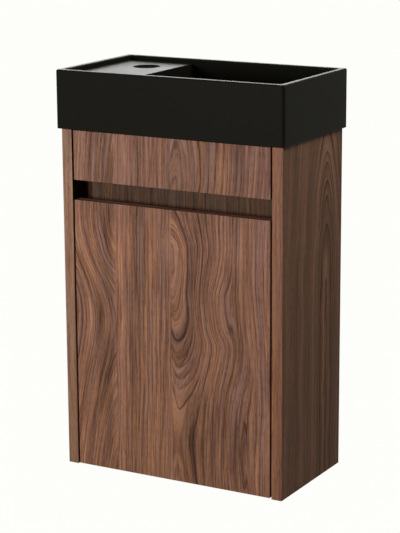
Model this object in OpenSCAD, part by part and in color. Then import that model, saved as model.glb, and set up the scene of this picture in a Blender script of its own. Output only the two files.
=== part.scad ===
// Wall-hung cloakroom vanity unit: a matt black basin with a tap deck on its left, on a walnut
// cabinet with a fixed fascia, a finger-pull slot and one inset door on two cup hinges.
// The origin is the middle of the outer size at the cabinet's base. +X is right, -Y is the front.

/* [Basin] */
// Outer width of the basin
basin_w = 400; // [380:1:480]
// Outer depth of the basin, front to wall
basin_d = 220; // [205:1:300]
// Height of the basin
basin_h = 93; // [70:1:140]
// Thickness of the basin's walls at the rim
basin_wall = 11; // [8:0.5:16]
// Thickness of the bowl's floor at the waste
bowl_floor = 12; // [9:0.5:20]
// Depth of the dish round the waste
dish_depth = 3; // [1:0.5:6]
// Width of the sunk tap deck inside the left wall
deck_w = 117; // [90:1:140]
// Drop from the rim down to the tap deck
deck_drop = 8; // [3:0.5:15]
// Thickness of the tap deck
deck_t = 12; // [8:0.5:20]
// Width of the ledge that the hollow half of the basin stands on
foot_ledge = 22; // [14:1:30]
// Radius of the basin's upright corners
corner_r = 5; // [3:0.5:15]
// Radius of the basin's top outer edge
rim_r = 2; // [0.5:0.5:3]
// Diameter of the tap hole
tap_hole_d = 35; // [28:0.5:40]
// Radius of the rounded mouth of the tap hole
tap_mouth_r = 4.5; // [1:0.5:6]
// Tap hole centre from the basin's left side
tap_from_left = 78; // [60:1:100]
// Tap hole centre from the basin's back
tap_from_back = 72; // [50:1:110]
// Diameter of the waste hole
waste_hole_d = 45; // [40:0.5:50]
// Depth of the basin's front past the cabinet's front
basin_nose = 8; // [2:0.5:20]

/* [Cabinet] */
// Width of the cabinet over its side panels
cab_w = 390; // [350:1:450]
// Depth of the cabinet
cab_d = 205; // [190:1:280]
// Height of the cabinet
cab_h = 553; // [480:1:700]
// Thickness of every board
board_t = 18; // [15:0.5:22]
// Depth of the flat rail behind the fascia
front_rail_d = 50; // [48:1:70]
// Height of the hanging rail at the back
hanging_rail_h = 100; // [90:1:140]
// Height of the rail at the foot of the back
lower_rail_h = 80; // [60:1:120]
// Height of the underside of the shelf
shelf_z = 208; // [190:1:250]
// Side clearance of the shelf
shelf_play = 0.5; // [0.3:0.1:2]
// Distance of the shelf from the face of the door
shelf_setback = 40; // [36:1:60]

/* [Front] */
// Gap between the side panels and the door or fascia
front_gap = 3; // [2.5:0.1:4]
// Gap under the door
door_foot_gap = 1.5; // [1:0.1:4]
// Gap between the fascia and the basin
fascia_top_gap = 2; // [1:0.1:4]
// Height of the fascia
fascia_h = 79; // [60:1:110]
// Height of the finger slot above the door
slot_h = 32; // [25:1:45]
// Depth from the front face to the board at the back of the slot
finger_depth = 38; // [36:0.5:60]
// Drop of that board below the top of the door
finger_drop = 54; // [40:1:80]

/* [Door hinges] */
// Height of the lower hinge above the foot of the door
hinge_inset = 100; // [70:1:130]
// Depth of the upper hinge below the board behind the slot
hinge_drop = 46; // [40:1:70]
// Diameter of the hinge cup
cup_d = 35; // [34:0.5:36]
// Depth of the hinge cup in the door
cup_depth = 13; // [12.5:0.1:13.5]
// Distance from the door's edge to the cup's rim
cup_tab = 5; // [4.5:0.1:6]
// Wall of the pressed cup
cup_wall = 0.8; // [0.6:0.1:1]
// Pivot pin from the edge of the door
pivot_in = 19.5; // [19.5:0.1:21]
// Pivot pin from the back of the door
pivot_deep = 9; // [8.9:0.1:9.1]
// Diameter of the pivot pin
pivot_d = 3; // [2.5:0.1:3.2]
// Thickness of the hinge arm's steel
arm_t = 2.4; // [2:0.1:2.6]
// Width of the hinge arm
arm_w = 12; // [10:0.5:14]
// Radius of the arm's bend round the pivot
neck_r = 26; // [25.5:0.1:27]
// Height of the mounting plate
plate_h = 5; // [4:0.5:7]
// Mounting plate screws from the back of the door
plate_set = 37; // [34:1:45]

/* [Catches and hangers] */
// Width of the magnetic catch, from the side panel
catch_w = 15; // [12:0.5:18]
// Length of the magnetic catch
catch_l = 44; // [36:1:60]
// Depth of the upper catch below the board behind the slot
catch_drop = 6; // [4:1:30]
// Height of the lower catch above the bottom panel
catch_rise = 20; // [15:1:60]
// Gap between the closed door's plate and the magnet
catch_gap = 0.3; // [0.2:0.1:0.5]
// Width of a cabinet hanger's body, from the side panel
hanger_w = 14; // [12:0.5:18]
// Height of a cabinet hanger's body
hanger_h = 46; // [40:1:50]
// Width of the steel hook
hook_w = 10; // [6:0.5:11]
// Thickness of the steel hook
hook_t = 2.5; // [2:0.1:3]
// Width of a wall plate
wall_plate_w = 40; // [30:1:60]
// Thickness of a wall plate
wall_plate_t = 2; // [1.5:0.1:2.5]
// Distance between a wall plate's two screws
wall_screw_pitch = 20; // [15:1:30]
// Diameter of a wall plate's screw holes
wall_screw_d = 6; // [5:0.1:7]

/* [Fixings] */
// Diameter of the cam locks
cam_d = 15; // [12:0.5:15]
// Height of the cam locks
cam_h = 12.5; // [11:0.1:13]
// Cam lock centre from the side panel
cam_reach = 24; // [24:0.5:34]
// Diameter of the dowels
dowel_d = 8; // [6:0.5:8]
// Length of the dowels
dowel_l = 30; // [25:1:35]
// Diameter of the shelf pins
shelf_pin_d = 5; // [4:0.5:6]
// Distance between the rows of shelf holes
shelf_hole_pitch = 32; // [25:1:32]
// Clearance round a part in its hole, on the diameter
fit = 0.1; // [0.06:0.02:0.2]

/* [Hidden] */

walnut = [0.47, 0.34, 0.27];
matt_black = [0.13, 0.13, 0.12];
steel = [0.72, 0.72, 0.73];
beech = [0.80, 0.66, 0.48];
grey_plastic = [0.55, 0.56, 0.57];
eps = 0.01;
$fn = 64;

// Main planes
front_y = -basin_d/2 + basin_nose;
back_y = front_y + cab_d;
inner_x = cab_w/2 - board_t;
door_back_y = front_y + board_t;
top_z = cab_h + basin_h;

// The wall is at the basin's back, or past the hooks where the cabinet is the deeper one
lip_gap = 0.6;
hook_gap = 0.4;
hook_leg_t = 2.4;
hook_wall_gap = 0.6;
lip_y = back_y + lip_gap;
hook_leg_y = lip_y + wall_plate_t + hook_gap;
wall_y = max(basin_d/2, hook_leg_y + hook_leg_t + hook_wall_gap);

// Basin
deck_z = top_z - deck_drop;
deck_end_x = -basin_w/2 + basin_wall + deck_w;
bowl_right_x = basin_w/2 - basin_wall;
bowl_y = basin_d/2 - basin_wall;
waste_x = (deck_end_x + bowl_right_x)/2;
tap_x = -basin_w/2 + tap_from_left;
tap_y = basin_d/2 - tap_from_back;
dish_lip = 10;

// Front of the cabinet
front_half_w = inner_x - front_gap;
fascia_z = cab_h - fascia_top_gap - fascia_h;
door_top_z = fascia_z - slot_h;
slot_back_y = front_y + finger_depth;
slot_back_z = door_top_z - finger_drop;
rail_z = cab_h - board_t;

// Hinges: the pivot is given from the inner face of the left side panel and the front face
pivot_u = front_gap + pivot_in;
pivot_v = board_t - pivot_deep;
cup_u = front_gap + cup_tab + cup_d/2;
cup_floor_v = board_t - cup_depth;
hinge_low_z = door_foot_gap + hinge_inset;
hinge_high_z = slot_back_z - hinge_drop;
hinge_zs = [hinge_low_z, hinge_high_z];
neck_angle = 37.5;
eye_gap = 0.3;
eye_r = pivot_v - cup_floor_v - cup_wall - eye_gap;
lug_t = 2;
lug_gap = 0.3;
lug_half_w = 4;
lug_over = 3;
pin_l = arm_w + 2*lug_gap + 2*lug_t;
flange_t = 1.5;
flange_lip = 2;
cup_screw_pitch = 45;
cup_wing_d = 12;
cup_screw_shift = 3;
cup_wing_front = 8;
cup_wing_back = 11;
cup_screw_u = cup_u + cup_screw_shift;
plate_v = board_t + plate_set;
plate_nose = 13;
plate_tail = 33;
plate_foot_w = 2;
arm_over = 2;
plate_start_v = plate_v - plate_nose;
arm_end_v = plate_v + plate_tail;
cheek_t = 1.4;
wing_t = 1.5;
wing_l = 16;
plate_screw_w = 16;
lock_back = 21;
adjust_front = 6;
arm_lock_v = plate_v + lock_back;
arm_adjust_v = plate_v - adjust_front;
arm_screw_d = 4;
// The door's edge turns inside this radius, so the boards behind it start past the radius
door_edge_r = norm([pivot_in, max(pivot_v, pivot_deep)]);
swing_room = 1.5;
floor_front_y = front_y + pivot_v + door_edge_r + swing_room;

// Catches
catch_d = 22;
strike_w = 10;
strike_l = 34;
strike_t = 1.5;
strike_shift = 1.5;
magnet_w = 7;
magnet_l = 30;
magnet_d = 8;
magnet_proud = 0.5;
catch_face_y = door_back_y + strike_t + catch_gap;
catch_zs = [board_t + catch_rise + catch_l/2, slot_back_z - catch_drop - catch_l/2];
catch_screw_end = 5;
catch_screw_pitch = catch_l - 2*catch_screw_end;
catch_screw_back = 7;
catch_screw_y = catch_face_y + catch_d - catch_screw_back;
strike_x = inner_x - catch_w/2 - strike_shift;

// Hangers
hook_from_top = 14;
hook_drop = 22;
hook_z = cab_h - hook_from_top;
hanger_from_top = 4;
hanger_d = 34;
hanger_gap = 0.5;
hanger_z = cab_h - hanger_from_top - hanger_h;
hanger_front_y = back_y - board_t - hanger_gap - hanger_d;
hook_x = inner_x - hanger_w/2;
socket_in = 8;
hook_in = 9;
adjuster_d = 6;
adjuster_in = 5;
adjuster_rise = 16;
adjuster_drop = 8;
adjuster_zs = [hanger_z + adjuster_rise, hook_z + hook_t/2 - adjuster_drop];
hanger_screw_back = 10;
hanger_screw_rise = 8;
hanger_screw_drop = 20;
hanger_screw_y = hanger_front_y + hanger_screw_back;
hanger_screw_zs = [hanger_z + hanger_screw_rise, hanger_z + hanger_h - hanger_screw_drop];
notch_h = 48;
notch_side = 1.5;
plate_step_drop = 32;
plate_margin = 9;
plate_step_z = hook_z - plate_step_drop;
plate_foot_z = plate_step_z - wall_screw_pitch - 2*plate_margin;
wall_screw_z = plate_step_z - plate_margin - wall_screw_pitch/2;

// Board joints: height or depth of each cam lock and dowel, and the way each cam opens
mid_t = board_t/2;
floor_mid_y = (floor_front_y + back_y)/2;
cam_inset = 26;
rail_joint_inset = 16;
slot_cam_rise = 44;
slot_dowel_drop = 35;
hang_dowel_rise = 10;
foot_dowel_rise = 20;
cam_joints = [
    [floor_front_y + cam_inset, mid_t, "down"],
    [back_y - cam_inset, mid_t, "down"],
    [door_back_y + front_rail_d - rail_joint_inset, rail_z + mid_t, "down"],
    [slot_back_y + mid_t, slot_back_z + slot_cam_rise, "back"],
    [back_y - mid_t, cab_h - hanging_rail_h + cam_inset, "front"],
    [back_y - mid_t, board_t + lower_rail_h - cam_inset, "front"]
];
dowel_joints = [
    [floor_mid_y, mid_t],
    [door_back_y + rail_joint_inset, rail_z + mid_t],
    [slot_back_y + mid_t, rail_z - slot_dowel_drop],
    [back_y - mid_t, cab_h - hanging_rail_h + hang_dowel_rise],
    [back_y - mid_t, board_t + foot_dowel_rise]
];
hole_spare = 0.5;
cam_seat = 0.3;
bolt_thread_d = 5;
bolt_shank_d = 6;
bolt_neck_d = 3.4;
bolt_bore_d = bolt_shank_d + 2;
bolt_in = 10;
bolt_head_front = 2;
bolt_head_back = 2.5;
cam_slot_side = 0.4;
cam_slot_low = 4.4;
cam_slot_high = 3.6;
cross_l = 7;
cross_w = 1.4;
cross_deep = 2;

// Shelf holes
pin_in = 10;
pin_pad = 1.6;
pin_pad_w = 8;
pin_out = 9;
pin_collar = 1;
shelf_back_gap = 1;
shelf_front_y = front_y + shelf_setback;
shelf_back_y = back_y - board_t - shelf_back_gap;
pin_from_front = 22;
pin_from_back = 25;
pin_columns_y = [shelf_front_y + pin_from_front, shelf_back_y - pin_from_back];
pin_z = shelf_z - pin_pad - shelf_pin_d/2;

// Fascia brackets and wood screws
bracket_inset = 48;
bracket_xs = [-inner_x + bracket_inset, 0, inner_x - bracket_inset];
bracket_w = 16;
bracket_t = 2;
bracket_h = 30;
bracket_gap = 0.2;
bracket_d = slot_back_y - door_back_y - bracket_gap;
bracket_screw_rise = 9;
bracket_screw_y = door_back_y + (bracket_d + bracket_t)/2;
bracket_screw_z = rail_z - bracket_h + bracket_screw_rise;
wood_screw_d = 3.5;
wood_screw_in = 12;
head_d = 7;
head_h = 1.8;

// A block between two corners
module block(low, high) {
    translate(low) cube(high - low);
}

// A round along X, from x0 to x1
module round_x(x0, x1, y, z, d) {
    translate([min(x0, x1), y, z]) rotate([0, 90, 0]) cylinder(d = d, h = abs(x1 - x0));
}

// A round along Y, from y0 to y1
module round_y(x, y0, y1, z, d) {
    translate([x, max(y0, y1), z]) rotate([90, 0, 0]) cylinder(d = d, h = abs(y1 - y0));
}

// A pan-head screw along +Z, its head's underside at the origin, with a cross recess
module screw(d, l, head, high) {
    difference() {
        union() {
            translate([0, 0, -l]) cylinder(d = d, h = l + eps);
            cylinder(d1 = head, d2 = 0.72*head, h = high);
        }
        for (turn = [0, 90])
            rotate([0, 0, turn])
                translate([-0.25*head, -0.07*head, 0.4*high])
                    cube([0.5*head, 0.14*head, high]);
    }
}

// Basin: the outer block, with rounded upright corners and a rounded top edge
module basin_block() {
    hull() for (sx = [-1, 1], sy = [-1, 1], a = [0:30:90])
        translate([sx*(basin_w/2 - corner_r), sy*(basin_d/2 - corner_r), cab_h])
            cylinder(r = corner_r - rim_r*(1 - cos(a)), h = basin_h - rim_r*(1 - sin(a)), $fn = 32);
}

// Tap hole: the bore with a rounded mouth
module tap_hole() {
    translate([tap_x, tap_y, deck_z - deck_t - eps]) cylinder(d = tap_hole_d, h = deck_t + 2*eps);
    translate([tap_x, tap_y, deck_z - tap_mouth_r])
        rotate_extrude() difference() {
            translate([tap_hole_d/2 - eps, 0]) square([tap_mouth_r + eps, tap_mouth_r + eps]);
            translate([tap_hole_d/2 + tap_mouth_r, 0]) circle(r = tap_mouth_r);
        }
}

module basin() {
    color(matt_black) difference() {
        basin_block();
        // bowl, and the shallow recess of the tap deck
        block([deck_end_x, -bowl_y, cab_h + bowl_floor + dish_depth],
              [bowl_right_x, bowl_y, top_z + eps]);
        block([-basin_w/2 + basin_wall, -bowl_y, deck_z],
              [deck_end_x + eps, bowl_y, top_z + eps]);
        // hollow under the tap deck, open below
        block([-basin_w/2 + foot_ledge, -basin_d/2 + foot_ledge, cab_h - eps],
              [deck_end_x - basin_wall, basin_d/2 - foot_ledge, deck_z - deck_t]);
        tap_hole();
        // dish and waste hole
        translate([waste_x, 0, cab_h + bowl_floor])
            cylinder(d1 = waste_hole_d + 2*dish_lip, d2 = 2*(bowl_y - dish_lip), h = dish_depth + eps);
        translate([waste_x, 0, cab_h - eps])
            cylinder(d = waste_hole_d, h = bowl_floor + dish_depth);
    }
}

// Blind holes that both side panels share, for one side s (-1 left, 1 right)
module side_holes(s) {
    for (j = cam_joints)
        round_x(s*(inner_x - eps), s*(inner_x + bolt_in + hole_spare), j[0], j[1],
                bolt_thread_d + fit);
    for (j = dowel_joints)
        round_x(s*(inner_x - eps), s*(inner_x + dowel_l/3 + hole_spare), j[0], j[1],
                dowel_d + fit);
    for (y = pin_columns_y, k = [-2:2])
        round_x(s*(inner_x - eps), s*(inner_x + pin_in + hole_spare), y,
                pin_z + k*shelf_hole_pitch, shelf_pin_d + fit);
    for (z = hanger_screw_zs)
        round_x(s*(inner_x - eps), s*(inner_x + wood_screw_in + hole_spare), hanger_screw_y, z,
                wood_screw_d + fit);
}

module side_board(s) {
    block([min(s*inner_x, s*cab_w/2), front_y, 0], [max(s*inner_x, s*cab_w/2), back_y, cab_h]);
}

module side_left() {
    color(walnut) difference() {
        side_board(-1);
        side_holes(-1);
        for (z = hinge_zs, w = [-plate_screw_w, plate_screw_w])
            round_x(-inner_x + eps, -inner_x - wood_screw_in - hole_spare, front_y + plate_v,
                    z + w, wood_screw_d + fit);
    }
}

module side_right() {
    color(walnut) difference() {
        side_board(1);
        side_holes(1);
        for (z = catch_zs, w = [-1, 1])
            round_x(inner_x - eps, inner_x + wood_screw_in + hole_spare, catch_screw_y,
                    z + w*catch_screw_pitch/2, wood_screw_d + fit);
    }
}

// Turns +Z to the way that a cam lock opens
module face_way(way) {
    turn = way == "down" ? 180 : way == "front" ? 90 : -90;
    rotate([turn, 0, 0]) children();
}

// The bores in a board for the cam locks at these places in the list
module cam_bores(picks) {
    for (i = picks, s = [-1, 1]) {
        j = cam_joints[i];
        translate([s*(inner_x - cam_reach), j[0], j[1]]) face_way(j[2])
            translate([0, 0, mid_t - cam_h - cam_seat - hole_spare])
                cylinder(d = cam_d + 2*fit, h = cam_h + cam_seat + hole_spare + eps);
        round_x(s*(inner_x + eps), s*(inner_x - cam_reach - bolt_head_back - hole_spare), j[0],
                j[1], bolt_bore_d);
    }
}

module dowel_bores(picks) {
    for (i = picks, s = [-1, 1])
        round_x(s*(inner_x + eps), s*(inner_x - 2*dowel_l/3 - hole_spare), dowel_joints[i][0],
                dowel_joints[i][1], dowel_d + fit);
}

module bottom_panel() {
    color(walnut) difference() {
        block([-inner_x, floor_front_y, 0], [inner_x, back_y, board_t]);
        cam_bores([0, 1]);
        dowel_bores([0]);
    }
}

module front_rail() {
    color(walnut) difference() {
        block([-inner_x, door_back_y, rail_z], [inner_x, door_back_y + front_rail_d, cab_h]);
        cam_bores([2]);
        dowel_bores([1]);
        for (x = bracket_xs)
            translate([x, bracket_screw_y, rail_z - eps])
                cylinder(d = wood_screw_d + fit, h = wood_screw_in);
    }
}

// The board seen at the back of the finger slot
module slot_back() {
    color(walnut) difference() {
        block([-inner_x, slot_back_y, slot_back_z], [inner_x, slot_back_y + board_t, rail_z]);
        cam_bores([3]);
        dowel_bores([2]);
    }
}

module fascia() {
    color(walnut) difference() {
        block([-front_half_w, front_y, fascia_z], [front_half_w, door_back_y, fascia_z + fascia_h]);
        for (x = bracket_xs)
            round_y(x, door_back_y + eps, door_back_y - wood_screw_in, bracket_screw_z,
                    wood_screw_d + fit);
    }
}

module hanging_rail() {
    color(walnut) difference() {
        block([-inner_x, back_y - board_t, cab_h - hanging_rail_h], [inner_x, back_y, cab_h]);
        cam_bores([4]);
        dowel_bores([3]);
        // corner notches that the hooks pass through
        notch_in_x = hook_x - hook_w/2 - notch_side;
        for (s = [-1, 1])
            block([min(s*notch_in_x, s*(inner_x + eps)), back_y - board_t - eps, cab_h - notch_h],
                  [max(s*notch_in_x, s*(inner_x + eps)), back_y + eps, cab_h + eps]);
    }
}

module lower_rail() {
    color(walnut) difference() {
        block([-inner_x, back_y - board_t, board_t], [inner_x, back_y, board_t + lower_rail_h]);
        cam_bores([5]);
        dowel_bores([4]);
    }
}

module shelf() {
    half = inner_x - shelf_play;
    color(walnut) block([-half, shelf_front_y, shelf_z], [half, shelf_back_y, shelf_z + board_t]);
}

// Push-in shelf pins with a flat pad under the shelf
module shelf_pins() {
    color(steel) for (s = [-1, 1], y = pin_columns_y) {
        round_x(s*(inner_x + pin_in), s*(inner_x - pin_collar), y, pin_z, shelf_pin_d);
        block([min(s*(inner_x - pin_collar), s*(inner_x - pin_out)), y - pin_pad_w/2,
               pin_z - shelf_pin_d/2],
              [max(s*(inner_x - pin_collar), s*(inner_x - pin_out)), y + pin_pad_w/2, shelf_z]);
    }
}

// Door: a board with two cup bores in its back
module door() {
    color(walnut) difference() {
        block([-front_half_w, front_y, door_foot_gap], [front_half_w, door_back_y, door_top_z]);
        for (z = hinge_zs) {
            round_y(-inner_x + cup_u, door_back_y + eps, front_y + cup_floor_v, z, cup_d + fit);
            for (w = [-1, 1])
                round_y(-inner_x + cup_screw_u, door_back_y + eps, door_back_y - wood_screw_in,
                        z + w*cup_screw_pitch/2, wood_screw_d + fit);
        }
        for (z = catch_zs)
            round_y(strike_x, door_back_y + eps, door_back_y - wood_screw_in, z,
                    wood_screw_d + fit);
    }
}

// Cam locks: a disc with a slot for the bolt's head and a cross recess
module cam_locks() {
    color(steel) for (j = cam_joints, s = [-1, 1])
        translate([s*(inner_x - cam_reach), j[0], j[1]]) face_way(j[2]) difference() {
            translate([0, 0, mid_t - cam_h - cam_seat]) cylinder(d = cam_d, h = cam_h);
            slot_half = bolt_shank_d/2 + cam_slot_side;
            block([min(0, s*cam_d) - (s > 0 ? bolt_shank_d : 0), -slot_half, -cam_slot_low],
                  [max(0, s*cam_d) + (s < 0 ? bolt_shank_d : 0), slot_half, cam_slot_high]);
            for (turn = [0, 90])
                rotate([0, 0, turn])
                    translate([-cross_l/2, -cross_w/2, mid_t - cam_seat - cross_deep])
                        cube([cross_l, cross_w, cross_deep + eps]);
        }
}

// Cam bolts: thread in the side panel, shank, neck and head in the cam lock
module cam_bolts() {
    color(steel) for (j = cam_joints, s = [-1, 1]) {
        shank_end = inner_x - cam_reach + cam_d/2 + hole_spare;
        head_x = inner_x - cam_reach + bolt_head_front;
        round_x(s*(inner_x + bolt_in), s*(inner_x - eps), j[0], j[1], bolt_thread_d);
        round_x(s*inner_x, s*(shank_end - eps), j[0], j[1], bolt_shank_d);
        round_x(s*shank_end, s*(head_x - eps), j[0], j[1], bolt_neck_d);
        round_x(s*head_x, s*(inner_x - cam_reach - bolt_head_back), j[0], j[1], bolt_shank_d);
    }
}

module dowels() {
    color(beech) for (j = dowel_joints, s = [-1, 1])
        round_x(s*(inner_x + dowel_l/3), s*(inner_x - 2*dowel_l/3), j[0], j[1], dowel_d);
}

// Steel angles that hold the fascia to the flat rail above it
module fascia_brackets() {
    color(steel) for (x = bracket_xs) difference() {
        union() {
            block([x - bracket_w/2, door_back_y, rail_z - bracket_h],
                  [x + bracket_w/2, door_back_y + bracket_t, rail_z]);
            block([x - bracket_w/2, door_back_y, rail_z - bracket_t],
                  [x + bracket_w/2, door_back_y + bracket_d, rail_z]);
        }
        round_y(x, door_back_y - eps, door_back_y + bracket_t + eps, bracket_screw_z,
                wood_screw_d + fit);
        translate([x, bracket_screw_y, rail_z - bracket_t - eps])
            cylinder(d = wood_screw_d + fit, h = bracket_t + 2*eps);
    }
}

module fascia_screws() {
    color(steel) for (x = bracket_xs) {
        translate([x, door_back_y + bracket_t, bracket_screw_z]) rotate([-90, 0, 0])
            screw(wood_screw_d, wood_screw_in, head_d, head_h);
        translate([x, bracket_screw_y, rail_z - bracket_t]) rotate([180, 0, 0])
            screw(wood_screw_d, wood_screw_in, head_d, head_h);
    }
}

// Places its children at a hinge: X from the side panel, Y from the front face, Z from the middle
module at_hinge(z) {
    translate([-inner_x, front_y, z]) children();
}

// Mounting plate: a winged foot on the side panel and a raised rail for the arm
module hinge_plate(z) {
    half = arm_w/2;
    end_v = arm_end_v - arm_over;
    color(steel) at_hinge(z) difference() {
        union() {
            block([0, plate_start_v, -half - plate_foot_w], [wing_t, end_v, half + plate_foot_w]);
            block([wing_t - eps, plate_start_v, -half], [plate_h, end_v, half]);
            block([0, plate_v - wing_l/2, -plate_screw_w],
                  [wing_t, plate_v + wing_l/2, plate_screw_w]);
            for (w = [-1, 1])
                round_x(0, wing_t, plate_v, w*plate_screw_w, wing_l);
        }
        for (w = [-1, 1])
            round_x(-eps, wing_t + eps, plate_v, w*plate_screw_w, wood_screw_d + fit);
        for (v = [arm_lock_v, arm_adjust_v])
            round_x(wing_t, plate_h + eps, v, 0, arm_screw_d + fit);
    }
}

module hinge_plate_upper() { hinge_plate(hinge_high_z); }
module hinge_plate_lower() { hinge_plate(hinge_low_z); }

// Arm: an eye on the pivot, a goose neck that lets the door's edge turn inside it, and a channel
// that sits over the plate's rail
module hinge_arm(z) {
    half = arm_w/2;
    side = half + fit;
    top_u = plate_h + arm_t;
    bend_v = pivot_v + neck_r;
    color(steel) at_hinge(z) difference() {
        union() {
            translate([pivot_u, pivot_v, -half]) {
                cylinder(r = eye_r, h = arm_w);
                rotate([0, 0, neck_angle]) translate([0, -arm_t/2, 0]) cube([neck_r, arm_t, arm_w]);
                rotate([0, 0, neck_angle]) rotate_extrude(angle = 90 - neck_angle)
                    translate([neck_r - arm_t/2, 0]) square([arm_t, arm_w]);
            }
            block([top_u, bend_v - arm_t/2, -half], [pivot_u + eps, bend_v + arm_t/2, half]);
            translate([top_u, bend_v + arm_t/2, -half]) rotate([0, 0, 180])
                rotate_extrude(angle = 90) square([arm_t, arm_w]);
            block([plate_h, bend_v + arm_t/2 - eps, -half], [top_u, arm_end_v, half]);
            for (w = [-1, 1])
                block([wing_t + eye_gap, plate_start_v, min(w*side, w*(side + cheek_t))],
                      [top_u, arm_end_v, max(w*side, w*(side + cheek_t))]);
            for (w = [-1, 1])
                block([plate_h + eps, plate_start_v, min(w*(half - eps), w*(side + eps))],
                      [top_u, arm_end_v, max(w*(half - eps), w*(side + eps))]);
        }
        translate([pivot_u, pivot_v, -half - eps]) cylinder(d = pivot_d + fit, h = arm_w + 2*eps);
        for (v = [arm_lock_v, arm_adjust_v])
            round_x(plate_h - eps, top_u + eps, v, 0, arm_screw_d + fit);
    }
}

module hinge_arm_upper() { hinge_arm(hinge_high_z); }
module hinge_arm_lower() { hinge_arm(hinge_low_z); }

// Cup: a pressed pan in the door with two lugs for the pin, and a flange with two screw wings
module hinge_cup(z) {
    lug_out = arm_w/2 + lug_gap + lug_t;
    color(steel) at_hinge(z) difference() {
        union() {
            difference() {
                round_y(cup_u, cup_floor_v, board_t + eps, 0, cup_d);
                round_y(cup_u, cup_floor_v + cup_wall, board_t + 2*eps, 0, cup_d - 2*cup_wall);
            }
            for (w = [-1, 1])
                block([pivot_u - lug_half_w, cup_floor_v + cup_wall - eps,
                       min(w*lug_out, w*(lug_out - lug_t))],
                      [pivot_u + lug_half_w, pivot_v + lug_over,
                       max(w*lug_out, w*(lug_out - lug_t))]);
            difference() {
                union() {
                    round_y(cup_u, board_t, board_t + flange_t, 0, cup_d + 2*flange_lip);
                    block([cup_u - cup_wing_front, board_t, -cup_screw_pitch/2],
                          [cup_u + cup_wing_back, board_t + flange_t, cup_screw_pitch/2]);
                    for (w = [-1, 1])
                        round_y(cup_screw_u, board_t, board_t + flange_t, w*cup_screw_pitch/2,
                                cup_wing_d);
                }
                round_y(cup_u, board_t - eps, board_t + flange_t + eps, 0, cup_d - 2*cup_wall);
            }
        }
        translate([pivot_u, pivot_v, -lug_out - eps])
            cylinder(d = pivot_d + fit/2, h = 2*lug_out + 2*eps);
        for (w = [-1, 1])
            round_y(cup_screw_u, board_t - eps, board_t + flange_t + eps, w*cup_screw_pitch/2,
                    wood_screw_d + fit);
    }
}

module hinge_cup_upper() { hinge_cup(hinge_high_z); }
module hinge_cup_lower() { hinge_cup(hinge_low_z); }

module hinge_pins() {
    color(steel) for (z = hinge_zs)
        at_hinge(z) translate([pivot_u, pivot_v, -pin_l/2]) cylinder(d = pivot_d, h = pin_l);
}

module plate_screws() {
    color(steel) for (z = hinge_zs, w = [-1, 1])
        at_hinge(z) translate([wing_t, plate_v, w*plate_screw_w]) rotate([0, 90, 0])
            screw(wood_screw_d, wing_t + wood_screw_in, head_d, head_h);
}

module arm_screws() {
    color(steel) for (z = hinge_zs, v = [arm_lock_v, arm_adjust_v])
        at_hinge(z) translate([plate_h + arm_t, v, 0]) rotate([0, 90, 0])
            screw(arm_screw_d, plate_h + arm_t - wing_t - eye_gap, head_d, head_h);
}

module cup_screws() {
    color(steel) for (z = hinge_zs, w = [-1, 1])
        at_hinge(z) translate([cup_screw_u, board_t + flange_t, w*cup_screw_pitch/2])
            rotate([-90, 0, 0]) screw(wood_screw_d, wood_screw_in, head_d, head_h);
}

// Magnetic catch: a moulded housing on the right side panel
module catch_body(z) {
    color(grey_plastic) difference() {
        block([inner_x - catch_w, catch_face_y + magnet_proud, z - catch_l/2],
              [inner_x, catch_face_y + catch_d, z + catch_l/2]);
        block([strike_x - magnet_w/2 - fit, catch_face_y, z - magnet_l/2 - fit],
              [strike_x + magnet_w/2 + fit, catch_face_y + magnet_d, z + magnet_l/2 + fit]);
        for (w = [-1, 1])
            round_x(inner_x - catch_w - eps, inner_x + eps, catch_screw_y,
                    z + w*catch_screw_pitch/2, wood_screw_d + fit);
    }
}

module catch_body_upper() { catch_body(catch_zs[1]); }
module catch_body_lower() { catch_body(catch_zs[0]); }

module catch_magnets() {
    color(steel) for (z = catch_zs)
        block([strike_x - magnet_w/2, catch_face_y, z - magnet_l/2],
              [strike_x + magnet_w/2, catch_face_y + magnet_d, z + magnet_l/2]);
}

module catch_screws() {
    color(steel) for (z = catch_zs, w = [-1, 1])
        translate([inner_x - catch_w, catch_screw_y, z + w*catch_screw_pitch/2])
            rotate([0, -90, 0]) screw(wood_screw_d, catch_w + wood_screw_in, head_d, head_h);
}

// Steel plates on the door that the magnets hold
module catch_plates() {
    color(steel) for (z = catch_zs) difference() {
        block([strike_x - strike_w/2, door_back_y, z - strike_l/2],
              [strike_x + strike_w/2, door_back_y + strike_t, z + strike_l/2]);
        translate([strike_x, door_back_y, z]) rotate([-90, 0, 0])
            translate([0, 0, -eps])
                cylinder(d1 = wood_screw_d + fit, d2 = head_d + fit, h = strike_t + 2*eps);
    }
}

// Flush screws, so that the magnet meets the plate
module catch_plate_screws() {
    color(steel) for (z = catch_zs)
        translate([strike_x, door_back_y, z]) rotate([-90, 0, 0]) difference() {
            union() {
                translate([0, 0, -wood_screw_in + hole_spare])
                    cylinder(d = wood_screw_d, h = wood_screw_in - hole_spare + eps);
                cylinder(d1 = wood_screw_d, d2 = head_d - 4*fit, h = strike_t - fit);
            }
            for (turn = [0, 90])
                rotate([0, 0, turn]) translate([-0.25*head_d, -0.07*head_d, strike_t/3])
                    cube([0.5*head_d, 0.14*head_d, strike_t]);
        }
}

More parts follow.
